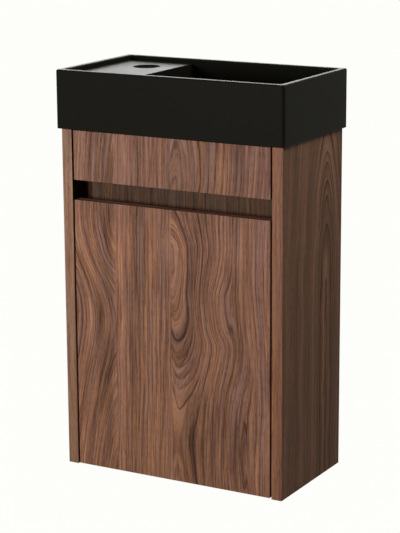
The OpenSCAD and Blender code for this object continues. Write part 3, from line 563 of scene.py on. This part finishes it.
def keep_mesh(name, work, materials=()):
    """Turns a bmesh into an object in the scene."""
    data = bpy.data.meshes.new(name)
    work.to_mesh(data)
    work.free()
    for m in materials:
        data.materials.append(m)
    return in_scene(name, data)


def modify(piece, kind, **settings):
    """Adds a modifier with its settings."""
    made = piece.modifiers.new(kind.lower(), kind)
    for name, value in settings.items():
        setattr(made, name, value)
    return made


def freeze(piece):
    """Applies the modifiers of a piece to its mesh."""
    bpy.context.view_layer.update()
    graph = bpy.context.evaluated_depsgraph_get()
    data = bpy.data.meshes.new_from_object(piece.evaluated_get(graph),
                                           preserve_all_data_layers=True, depsgraph=graph)
    piece.modifiers.clear()
    old, piece.data = piece.data, data
    bpy.data.meshes.remove(old)


def finish_piece(piece, node, body, angle=35):
    freeze(piece)
    piece.data.shade_smooth()
    piece.data.set_sharp_from_angle(angle=math.radians(angle))
    modify(piece, "WEIGHTED_NORMAL", keep_sharp=True)
    freeze(piece)
    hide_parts(node)
    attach(piece, body)
    print(piece.name, len(piece.data.polygons), "faces")


EASED = 0.5 * MM


def dress_board(node, body, face, thin, front=None, slot_side=0):
    """A board with eased edges: its two big faces get `face` and its thin sides an edge band
    that runs along them. A side panel's front edge gets `front`. The two front boards get a
    plain sheet on the back, and on the thin side that bounds the slot, which is the top (1) or
    the underside (-1), a copy of the level sheet made a little lighter, as painted light."""
    work = merged_copy(node)
    low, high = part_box(node)
    size = high - low
    weight = work.edges.layers.float.new("bevel_weight_edge")
    for edge in work.edges:
        sides = sum(all(abs(v.co[axis] - plane) < 10 * TOUCH for v in edge.verts)
                    for axis in range(3) for plane in (low[axis], high[axis]))
        edge[weight] = float(sides >= 2)
    materials = [face]
    for f in work.faces:
        normal = list(map(abs, f.normal))
        way = normal.index(max(normal))
        finish = face
        # at the slot, the backs get the inner sheet and the thin side gets a lighter copy of the
        # level sheet, as painted light
        if slot_side and f.normal.y > 0.5:
            finish = INNER
        elif f.normal.z * slot_side > 0.5:
            finish = SLOT_EDGE
        elif front and f.normal.y < -0.5:
            finish = front
        elif way != thin:
            finish = BANDS[max({0, 1, 2} - {way}, key=lambda axis: size[axis])]
        if finish not in materials:
            materials.append(finish)
        f.material_index = materials.index(finish)
    piece = keep_mesh(node + "_board", work, materials)
    # the rounds of the two front boards take the sheet of the face, the others the nearest finish
    modify(piece, "BEVEL", limit_method="WEIGHT", width=EASED, segments=3,
           material=0 if slot_side else -1)
    finish_piece(piece, node, body)


BOARDS = [
    ("door", "door", FRONT, 1, None, 1), ("fascia", "cabinet", FRONT, 1, None, -1),
    ("side_left", "cabinet", SIDE, 0, STRIP), ("side_right", "cabinet", SIDE, 0, STRIP),
    ("slot_back", "cabinet", SLOT, 1), ("hanging_rail", "cabinet", LEVEL, 1),
    ("lower_rail", "cabinet", LEVEL, 1), ("bottom_panel", "cabinet", LEVEL, 2),
    ("front_rail", "cabinet", LEVEL, 2), ("shelf", "cabinet", LEVEL, 2),
]
for board in BOARDS:
    dress_board(*board)

# %% [markdown]
# ## Basin
# The basin is cast in one piece, with a matt black glaze. Its outside is a box with rounded
# corners; inside, a tap deck lies just under the rim and the bowl drops away beside it. It is
# made as a maker's pattern would be: one closed block with sharp edges, whose upright edges are
# rounded first and whose level edges after them. The tap hole with its sloped mouth, the dish
# with the waste hole and the hollow underneath are then cut out with turned and boxed tools.

# %% Basin block
RIM_WALL, DECK_WIDTH, DECK_DROP, DECK_THICK = 11 * MM, 117 * MM, 8 * MM, 12 * MM
BOWL_FLOOR, DISH_DEPTH, DISH_LIP = 12 * MM, 3 * MM, 10 * MM
LEDGE, HOLLOW_ROUND = 22 * MM, 4 * MM
TAP_RADIUS, TAP_MOUTH, TAP_LEFT, TAP_BACK = 17.5 * MM, 4.5 * MM, 78 * MM, 72 * MM
WASTE_RADIUS, WASTE_ROUND = 22.5 * MM, 1.5 * MM

low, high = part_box("basin")
in_low = low + Vector((RIM_WALL, RIM_WALL, 0))
in_high = high - Vector((RIM_WALL, RIM_WALL, 0))
deck_z = high.z - DECK_DROP
deck_x = in_low.x + DECK_WIDTH
floor_z = low.z + BOWL_FLOOR + DISH_DEPTH


def basin_block():
    """The sharp-edged basin as one closed mesh of named levels."""
    work = bmesh.new()

    def ring(a, b, z):
        """The four corners of a rectangle from a to b, at height z."""
        return [work.verts.new((x, y, z))
                for x, y in ((a.x, a.y), (b.x, a.y), (b.x, b.y), (a.x, b.y))]

    foot, rim = ring(low, high, low.z), ring(low, high, high.z)
    lip = ring(in_low, in_high, high.z)
    deck = ring(in_low, Vector((deck_x, in_high.y)), deck_z)
    bowl = ring(Vector((deck_x, in_low.y)), in_high, floor_z)
    work.faces.new(foot)
    for i in range(4):
        j = (i + 1) % 4
        work.faces.new((foot[i], foot[j], rim[j], rim[i]))
        work.faces.new((rim[i], rim[j], lip[j], lip[i]))
    for corners in (deck, bowl, (lip[0], lip[1], bowl[1], bowl[0], deck[1], deck[0]),
                    (lip[3], lip[2], bowl[2], bowl[3], deck[2], deck[3]),
                    (lip[1], lip[2], bowl[2], bowl[1]), (lip[0], lip[3], deck[3], deck[0]),
                    (deck[1], deck[2], bowl[3], bowl[0])):
        work.faces.new(corners)
    bmesh.ops.recalc_face_normals(work, faces=work.faces)
    return work


work = basin_block()
print("basin block:", len(work.faces), "faces")

# %% Rounds of the basin
def outside(p):
    """True on the outer faces of the basin."""
    return min(p.x - low.x, high.x - p.x, p.y - low.y, high.y - p.y) < RIM_WALL / 2


def inside(p):
    return not outside(p)


def upright(edge):
    """True for an upright edge that is longer than a millimetre."""
    way = edge.verts[0].co - edge.verts[1].co
    return way.xy.length < TOUCH and abs(way.z) > 1 * MM


def all_at(edge, z):
    """True for an edge at height z."""
    return all(abs(v.co.z - z) < TOUCH for v in edge.verts)


def level(z):
    """The test for an edge at height z that joins a level face and an upright one."""
    def holds(edge):
        tilt = sorted(abs(f.normal.z) for f in edge.link_faces)
        return all_at(edge, z) and len(tilt) == 2 and tilt[0] < 0.1 and tilt[1] > 0.9
    return holds


# radius and steps of each round, the kind of edge and the place of its middle, in their order
ROUNDS = [
    (5 * MM, 6, upright, outside), (4 * MM, 5, upright, inside),
    (4 * MM, 6, level(high.z), outside), (4 * MM, 6, level(high.z), inside),
    (1 * MM, 2, level(low.z), outside), (1.5 * MM, 3, level(deck_z), inside),
    (3.8 * MM, 5, level(floor_z), inside),
]
for radius, steps, kind, where in ROUNDS:
    picked = [e for e in work.edges
              if kind(e) and where((e.verts[0].co + e.verts[1].co) / 2)]
    bmesh.ops.bevel(work, geom=picked, offset=radius, segments=steps, profile=0.5,
                    affect="EDGES", clamp_overlap=True)
    print("rounded", len(picked), "edges by", round(radius / MM, 1), "mm")
bmesh.ops.recalc_face_normals(work, faces=work.faces)
basin = keep_mesh("basin_casting", work)

# %% Cutting tools for the basin
def turned_tool(name, place, outline, steps=96):
    """A closed turned body: outline is (radius, z) from the axis round to the axis again."""
    work = bmesh.new()
    rows = []
    for radius, z in outline:
        row = [(place[0] + radius * math.cos(k * math.tau / steps),
                place[1] + radius * math.sin(k * math.tau / steps), z) for k in range(steps)]
        rows.append([work.verts.new(c) for c in row] if radius
                    else [work.verts.new(row[0])] * steps)
    for a, b in zip(rows, rows[1:]):
        for k in range(steps):
            n = (k + 1) % steps
            work.faces.new(list(dict.fromkeys((a[k], a[n], b[n], b[k]))))
    bmesh.ops.recalc_face_normals(work, faces=work.faces)
    return keep_mesh(name, work)


OVER = 6 * MM
tap_foot, tap_top = deck_z - DECK_THICK - OVER, deck_z + 1 * MM
tap_tool = turned_tool("tap_tool", (low.x + TAP_LEFT, high.y - TAP_BACK), [
    (0, tap_foot), (TAP_RADIUS, tap_foot), (TAP_RADIUS, deck_z - TAP_MOUTH),
    (TAP_RADIUS + TAP_MOUTH, deck_z), (TAP_RADIUS + TAP_MOUTH, tap_top), (0, tap_top)])

# the dish rises evenly from a ring round the waste hole, and its tool goes on above the floor
waste_foot, dish_z, dish_mouth = low.z - OVER, low.z + BOWL_FLOOR, in_high.y - DISH_LIP
dish_grow = 5 * MM
waste_top = floor_z + DISH_DEPTH / (dish_mouth - WASTE_RADIUS - DISH_LIP) * dish_grow
bend = [(WASTE_RADIUS + WASTE_ROUND * (1 - math.cos(a)),
         dish_z - WASTE_ROUND * (1 - math.sin(a))) for a in (k * math.tau / 16 for k in range(5))]
waste_tool = turned_tool("waste_tool", ((deck_x + in_high.x) / 2, 0), [
    (0, waste_foot), (WASTE_RADIUS, waste_foot), *bend, (WASTE_RADIUS + DISH_LIP, dish_z),
    (dish_mouth + dish_grow, waste_top), (0, waste_top)])

work = bmesh.new()
bmesh.ops.create_cube(work, size=1.0)
hollow_low = Vector((low.x + LEDGE, low.y + LEDGE, low.z - OVER))
hollow_high = Vector((deck_x - RIM_WALL, high.y - LEDGE, deck_z - DECK_THICK))
for v in work.verts:
    for axis in range(3):
        v.co[axis] = (hollow_high if v.co[axis] > 0 else hollow_low)[axis]
bmesh.ops.bevel(work, geom=[e for e in work.edges if not all_at(e, hollow_low.z)],
                offset=HOLLOW_ROUND, segments=4, profile=0.5, affect="EDGES")
hollow_tool = keep_mesh("hollow_tool", work)
tools = (tap_tool, waste_tool, hollow_tool)
for tool in tools:
    modify(basin, "BOOLEAN", operation="DIFFERENCE", solver="EXACT", object=tool)
freeze(basin)
for tool in tools:
    bpy.data.objects.remove(tool)
print("basin:", len(basin.data.vertices), "vertices")

# %% [markdown]
# ## Matt black glaze
# The basin is fireclay with a matt glaze. A matt glaze is glass with a fine frosted skin: dark
# and dull when looked at square on, and pale at a glancing angle, where even a frosted surface
# turns into a mirror. A very faint unevenness in the skin, a millimetre or two across, keeps
# the big faces from looking like plastic.

# %% Glaze
def matt_glaze():
    """Matt black glaze: nearly black, with a fine skin that scatters a glancing light."""
    made, add = new_material("matt_glaze_on_fireclay")
    place = add("TexCoord")
    orange = add("TexNoise", {"Vector": (place, "Object"), "Scale": 420.0, "Detail": 2.0})
    cloud = add("TexNoise", {"Vector": (place, "Object"), "Scale": 14.0, "Detail": 3.0})
    rough = add("MapRange", cloud, 0.3, 0.7, 0.36, 0.42)
    tone = add("Mix RGBA", {0: cloud, 6: linear("#1c1b16"), 7: linear("#201f19")})
    skin = add("Bump", {"Height": orange, "Strength": 0.12, "Distance": 0.2 * MM})
    glaze = add("BsdfPrincipled", {"Base Color": (tone, 2), "Roughness": rough, "Normal": skin,
            "IOR": 1.5, "Specular IOR Level": 0.014})
    add("OutputMaterial", glaze)
    return made


GLAZE = matt_glaze()
basin.data.materials.clear()
basin.data.materials.append(GLAZE)
finish_piece(basin, "basin", "cabinet")

# %% [markdown]
# ## Metal, plastic, beech and ferrite
# The fittings are stock parts. Pressed steel is zinc-plated, which leaves a bluish bright grey
# with soft clouds. Hinge arms and cups are nickel-plated, brighter and a little warm. Cam locks
# are die-cast zinc, dull and grainy. Catches and hangers are moulded in grey ABS with a fine
# spark-eroded skin. Each of these finishes is the same idea with other numbers: two close
# colours in clouds, a roughness that follows them, and a grit in the skin.

# %% Finishes of the fittings
def cloudy_finish(name, dark, light, cloud, stretch, rough, metal, grit, relief):
    """Two colours in clouds of `cloud` mm, drawn out along Z by `stretch`, over grit of `grit`
    mm. rough is the roughness of the light and the dark clouds."""
    made, add = new_material(name)
    place = add("TexCoord")
    at = add("Mapping", {"Vector": (place, "Object"), "Scale": (1.0, 1.0, 1 / stretch)})
    clouds = add("TexNoise",
        {"Vector": at, "Scale": 1 / (cloud * MM), "Detail": 4.0, "Roughness": 0.6})
    grain = add("TexNoise", {"Vector": at, "Scale": 1 / (grit * MM), "Detail": 2.0})
    share = add("MapRange", clouds, 0.3, 0.7)
    tone = add("Mix RGBA", {0: share, 6: linear(dark), 7: linear(light)})
    dull = add("MapRange", share, 0.0, 1.0, rough[1], rough[0])
    skin = add("Bump", {"Height": grain, "Strength": relief, "Distance": 0.05 * MM})
    finish = add("BsdfPrincipled",
        {"Base Color": (tone, 2), "Roughness": dull, "Metallic": metal, "Normal": skin})
    add("OutputMaterial", finish)
    return made


# zinc plating on rolled steel: soft clouds 9 mm across and a satin gleam
ZINC = cloudy_finish("zinc_plated_steel", "#a4a9ae", "#bbbfc3", 9, 1, (0.30, 0.42), 1.0, 0.4, 0.15)
# nickel plating on pressed steel: bright, a little warm, with faint draw marks
NICKEL = cloudy_finish("nickel_plated_steel", "#b7b3ab", "#d3d0c9", 4, 6, (0.20, 0.28), 1.0,
                       0.3, 0.08)
# die-cast zinc: dull grey with a grainy skin
CAST = cloudy_finish("die_cast_zinc", "#7f8285", "#9c9fa1", 2, 1, (0.45, 0.58), 1.0, 0.3, 0.35)
# grey ABS from a spark-eroded mould: an even grey with a fine dull grit
ABS = cloudy_finish("moulded_grey_abs", "#8a8d8f", "#94979a", 12, 1, (0.48, 0.56), 0.0, 0.35, 0.5)
# turned beech: pale pinkish tan with short darker flecks along the dowel
BEECH = cloudy_finish("turned_beech", "#c39c6e", "#dcbd94", 1.2, 4, (0.55, 0.68), 0.0, 0.5, 0.4)
# sintered ferrite: dark grey ceramic, matt, with a sandy grain
FERRITE = cloudy_finish("sintered_ferrite", "#242527", "#343638", 1.5, 1, (0.50, 0.66), 0.0,
                        0.25, 0.4)
print("finishes:", [m.name for m in (ZINC, NICKEL, CAST, ABS, BEECH, FERRITE)])

# %% [markdown]
# ## Screws
# Screws with a cross recess hold the fittings. They repeat, so Geometry Nodes make them: one
# tree builds a screw from its real sizes, turns it into the direction that each point stores,
# and gives each one its own chance turn about its axis, because nobody stops every screw at the
# same angle. The points come from the CAD screws, which give place and direction.

# %% Screw tree: head and shaft
def screw_tree():
    """Geometry Nodes tree: points with an `axis` attribute in, finished screws out."""
    tree = bpy.data.node_groups.new("cross_head_screw", "GeometryNodeTree")
    sockets(tree, "INPUT", "Geometry", "Geometry")
    sockets(tree, "INPUT", "Float", "Shaft diameter", "Shaft length", "Tip length",
        "Thread pitch", "Head diameter", "Head height", "Foot share", "Crown share", "Dome")
    sockets(tree, "INPUT", "Int", "Seed")
    sockets(tree, "INPUT", "Material", "Finish")
    sockets(tree, "OUTPUT", "Geometry", "Geometry")
    add = partial(put, tree)
    given = add("NodeGroupInput")
    length, head, high = (given, "Shaft length"), (given, "Head diameter"), (given, "Head height")
    at = add("SeparateXYZ", add("InputPosition"))

    def reshape(mesh, share, z):
        """Scales each point about the axis by share and puts it at height z."""
        spot = add("CombineXYZ", add("Math MULTIPLY", (at, 0), share),
            add("Math MULTIPLY", (at, 1), share), z)
        return add("SetPosition", {"Geometry": mesh, "Position": spot})

    def raised(mesh, height, share, turn=0.0):
        """A mesh turned about its axis and moved up by a share of a height."""
        move = add("CombineXYZ", {2: add("Math MULTIPLY", height, share)})
        return add("Transform", {"Geometry": mesh, "Rotation": (0, 0, turn), "Translation": move})

    # head: a disc whose side and crown are drawn into a pan or a countersunk cone
    radius = add("Math MULTIPLY", head, 0.5)
    disc = add("MeshCylinder",
        {"Vertices": 32, "Side Segments": 5, "Fill Segments": 4, "Radius": radius, "Depth": high})
    rise = add("Math ADD", add("Math DIVIDE", (at, 2), high), 0.5)
    span = add("Math SUBTRACT", (given, "Crown share"), (given, "Foot share"))
    share = add("Math MULTIPLY_ADD", add("Math POWER", rise, 2.0), span, (given, "Foot share"))
    out = add("Math SQRT",
        add("Math MULTIPLY_ADD", (at, 0), (at, 0), add("Math MULTIPLY", (at, 1), (at, 1))))
    out = add("Math DIVIDE", out, radius)
    fall = add("Math MULTIPLY", add("Math MULTIPLY", out, out), (given, "Dome"))
    level = add("Math MULTIPLY", add("Math MULTIPLY", rise, high), add("Math SUBTRACT", 1.0, fall))
    body = reshape((disc, "Mesh"), share, level)

    # cross recess: two tapered blades, cut out of the head
    blade = add("MeshCone", {"Vertices": 4, "Depth": high,
            "Radius Top": add("Math MULTIPLY", head, 0.29),
            "Radius Bottom": add("Math MULTIPLY", head, 0.16)})
    blade = raised((blade, "Mesh"), high, 0.3, math.radians(45))
    for scale in ((1.35, 0.36, 1.0), (0.36, 1.35, 1.0)):
        arm = add("Transform", {"Geometry": blade, "Scale": scale})
        body = add("MeshBoolean", {"Mesh 1": body, "Mesh 2": arm}, operation="DIFFERENCE",
            solver="EXACT")

    # shaft with a point, and a thread wound round it
    core = add("Math MULTIPLY", (given, "Shaft diameter"), 0.39)
    rod = add("MeshCylinder",
        {"Vertices": 16, "Side Segments": 10, "Fill Segments": 1, "Radius": core, "Depth": length})
    rod = raised((rod, "Mesh"), length, -0.5)
    wire = add("Math MULTIPLY", (given, "Thread pitch"), 0.3)
    winding = add("Math SUBTRACT", add("Math MULTIPLY", (given, "Shaft diameter"), 0.5), wire)
    wound = add("Math MULTIPLY", length, 0.8)
    coil = add("CurveSpiral", {"Resolution": 12, "Start Radius": winding, "End Radius": winding,
            "Height": wound, "Rotations": add("Math DIVIDE", wound, (given, "Thread pitch"))})
    coil = add("SetCurveNormal", {"Curve": coil}, mode="Z_UP")
    edge = add("CurvePrimitiveCircle", {"Resolution": 4, "Radius": wire})
    coil = add("CurveToMesh", {"Curve": coil, "Profile Curve": edge, "Fill Caps": True})
    shaft = add("JoinGeometry", rod)
    tree.links.new(raised(coil, length, -0.97).outputs[0], shaft.inputs[0])
    thin = add("Math DIVIDE", add("Math ADD", (at, 2), length), (given, "Tip length"))
    thin = add("Math MINIMUM", add("Math MAXIMUM", thin, 0.06), 1.0)
    screw = add("JoinGeometry", (body, "Mesh"))
    tree.links.new(reshape(shaft, thin, (at, 2)).outputs[0], screw.inputs[0])

    # one on each point, along its axis and with a turn of its own
    axis = add("InputNamedAttribute", {"Name": "axis"}, data_type="FLOAT_VECTOR")
    aim = add("AlignRotationToVector", {"Vector": (axis, "Attribute")}, axis="Z")
    chance = add("RandomValue", {2: 0.0, 3: math.tau, "Seed": (given, "Seed")}, data_type="FLOAT")
    spin = add("AxisAngleToRotation", {"Axis": (0, 0, 1), "Angle": (chance, 1)})
    aim = add("RotateRotation", {"Rotation": aim, "Rotate By": spin}, rotation_space="LOCAL")
    done = add("InstanceOnPoints",
        {"Points": (given, "Geometry"), "Instance": screw, "Rotation": aim})
    done = add("RealizeInstances", done)
    done = add("SetMaterial", {"Geometry": done, "Material": (given, "Finish")})
    add("NodeGroupOutput", done)
    return tree


SCREW = screw_tree()
print("screw tree:", len(SCREW.nodes), "nodes")

# %% Places of the screws
def islands(node):
    """The corner points of each separate solid of a CAD node."""
    work = merged(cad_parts[node].data)
    left, groups = set(work.verts), []
    for first in work.verts:
        todo, group = [first], []
        while todo:
            corner = todo.pop()
            if corner in left:
                left.discard(corner)
                group.append(corner.co.copy())
                todo += [edge.other_vert(corner) for edge in corner.link_edges]
        if group:
            groups.append(group)
    work.free()
    return groups


def screw_places(node, head_height):
    """For each CAD screw: where its head sits, which way it points, its length and its width."""
    found = []
    for points in islands(node):
        first, last = (Vector([pick(c) for c in zip(*points)]) for pick in (min, max))
        size, middle = last - first, (first + last) / 2
        uneven = [abs(size[(i + 1) % 3] - size[(i + 2) % 3]) for i in range(3)]
        way = uneven.index(min(uneven))
        wide = size[(way + 1) % 3]
        # the widest points belong to the head
        side = 0.0
        for point in points:
            off = point - middle
            along, off[way] = off[way], 0.0
            if off.length > 0.45 * wide:
                side += along
        axis = Vector((0.0, 0.0, 0.0))
        axis[way] = math.copysign(1, side)
        middle[way] = (last if side > 0 else first)[way] - axis[way] * head_height
        found.append((middle, axis, size[way] - head_height, wide))
    return found


# %% Put the screws in
def place_screws(node, body, seed, shaft=3.5, pitch=1.3, tip=5.0, high=1.8, foot=1.0, crown=0.74,
                 dome=0.22):
    """Screws from the tree in the places of the CAD screws. shaft, pitch, tip and high, the
    height of the head, are in millimetres; foot, crown and dome give the head its form."""
    spots = screw_places(node, high * MM)
    mesh = bpy.data.meshes.new(node + "_set")
    mesh.from_pydata([spot[0] for spot in spots], [], [])
    mesh.attributes.new("axis", "FLOAT_VECTOR", "POINT")
    mesh.attributes["axis"].data.foreach_set("vector", [c for spot in spots for c in spot[1]])
    piece = in_scene(node + "_set", mesh)
    make = modify(piece, "NODES", node_group=SCREW)
    length, head = spots[0][2:]
    inputs = [item for item in SCREW.interface.items_tree if item.in_out == "INPUT"]
    for item, value in zip(inputs[1:], (shaft * MM, length, tip * MM, pitch * MM, head, high * MM,
                                        foot, crown, dome, seed, ZINC)):
        make[item.identifier] = value
    print(len(spots), "screws,", round(length / MM, 1), "mm long:", end=" ")
    finish_piece(piece, node, body)


# node, body and seed, and where they differ, the sizes and the form of the head
for row in [
    ("fascia_screws", "cabinet", 3), ("plate_screws", "cabinet", 5),
    ("arm_screws", "cabinet", 8, 4.0, 0.7, 0.8), ("cup_screws", "door", 13),
    ("catch_screws", "cabinet", 21), ("hanger_screws", "cabinet", 34),
    ("catch_plate_screws", "door", 55, 3.5, 1.3, 5.0, 1.4, 0.53, 1.0, 0.0),
]:
    place_screws(*row)

# %% [markdown]
# ## Pressed, cast and moulded fittings
# The CAD gives these their true forms with knife-sharp edges. Pressing, casting and moulding all
# leave a small round, so each copy gets a bevel of its own width on the edges that turn by more
# than 40 degrees.

# %% Softened fittings
def soften(node, body, round_mm, finish, slot="zinc_steel"):
    """A CAD node's shape with small rounds on its edges."""
    piece = keep_mesh(node + "_part", merged_copy(node), [finish])
    modify(piece, "BEVEL", limit_method="ANGLE", angle_limit=math.radians(40),
           width=round_mm * MM, segments=2, use_clamp_overlap=True)
    freeze(piece)
    # where rounds meet, corners can lie on one another
    work = merged(piece.data)
    work.to_mesh(piece.data)
    work.free()
    finish_piece(piece, node, body, 30)


# nodes, body, round in mm, finish, and the slot of what isn't steel or zinc
FITTINGS = [
    ("hinge_plate_upper hinge_plate_lower", "cabinet", 0.25, ZINC),
    ("hinge_arm_upper hinge_arm_lower", "cabinet", 0.2, NICKEL),
    ("hinge_cup_upper hinge_cup_lower", "door", 0.2, NICKEL),
    ("hinge_pins", "door", 0.3, NICKEL),
    ("fascia_brackets shelf_pins", "cabinet", 0.3, ZINC),
    ("cam_locks", "cabinet", 0.25, CAST),
    ("catch_body_upper catch_body_lower", "cabinet", 0.5, ABS, "grey_plastic"),
    ("catch_magnets", "cabinet", 0.3, FERRITE, "ferrite"),
    ("catch_plates", "door", 0.2, ZINC),
    ("hanger_body_left hanger_body_right", "cabinet", 0.6, ABS, "grey_plastic"),
    ("hanger_hook_left hanger_hook_right", "cabinet", 0.4, ZINC),
    ("wall_plate_left wall_plate_right", "cabinet", 0.3, ZINC),
]
for nodes, *row in FITTINGS:
    for node in nodes.split():
        soften(node, *row)

# %% Pieces that stay as the CAD has them
for node, finish in (("cam_bolts", ZINC), ("dowels", BEECH)):
    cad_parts[node].material_slots[0].material = finish
print("cam bolts and dowels are hidden in their holes and keep their CAD form")
